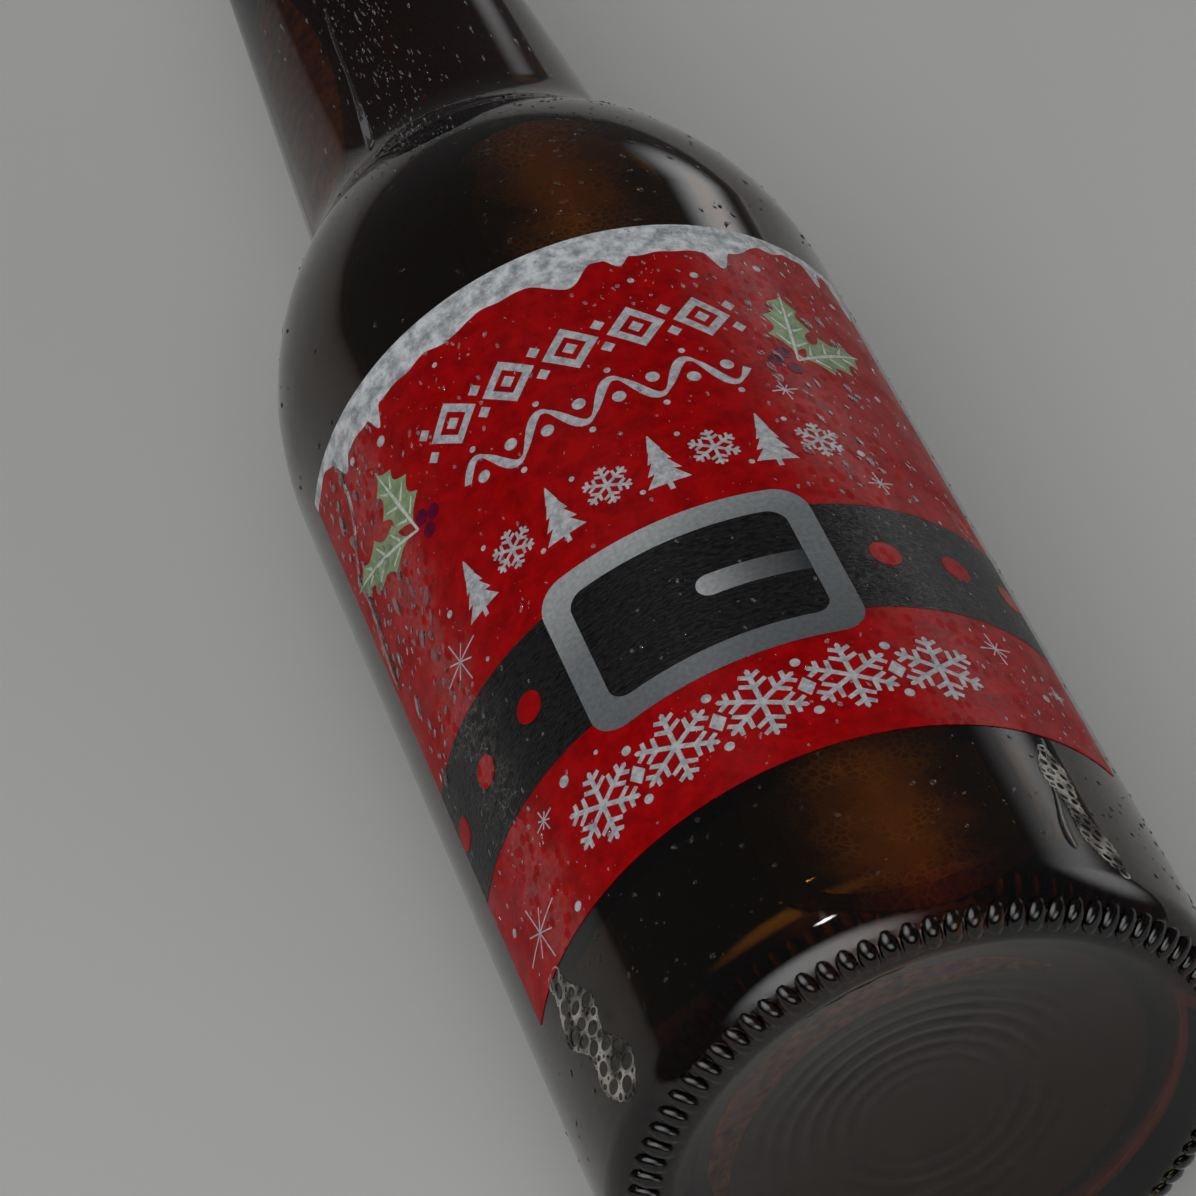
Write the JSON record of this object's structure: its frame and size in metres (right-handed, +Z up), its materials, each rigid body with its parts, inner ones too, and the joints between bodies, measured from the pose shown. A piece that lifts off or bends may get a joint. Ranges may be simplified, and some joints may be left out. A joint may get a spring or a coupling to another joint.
{
  "type": "beer bottle",
  "caption": "Capped longneck beer bottle of brown glass lying on its side, full of beer, with a wrap label, a crown cap and a knurled base.",
  "frame": {"origin": "on the floor under the middle of the bottle as it lies", "axes": "+Y along the bottle's axis from the base to the crown cap, +Z up, +X to the right of someone who looks along +Y"},
  "size_m": [0.0614, 0.2291, 0.0613],
  "materials": {
    "brown_glass": "smooth blown glass, dark amber brown, wet with condensation",
    "beer": "clear amber drink",
    "tinplate": "plain lacquered tinplate, satin",
    "label_paper": "coated paper, printed deep red with a white snow edge and a black belt, wet"
  },
  "bodies": {
    "root": {"glass_bottle": "brown_glass", "beer": "beer", "crown_cap": "tinplate", "label": "label_paper"}
  },
  "joints": []
}
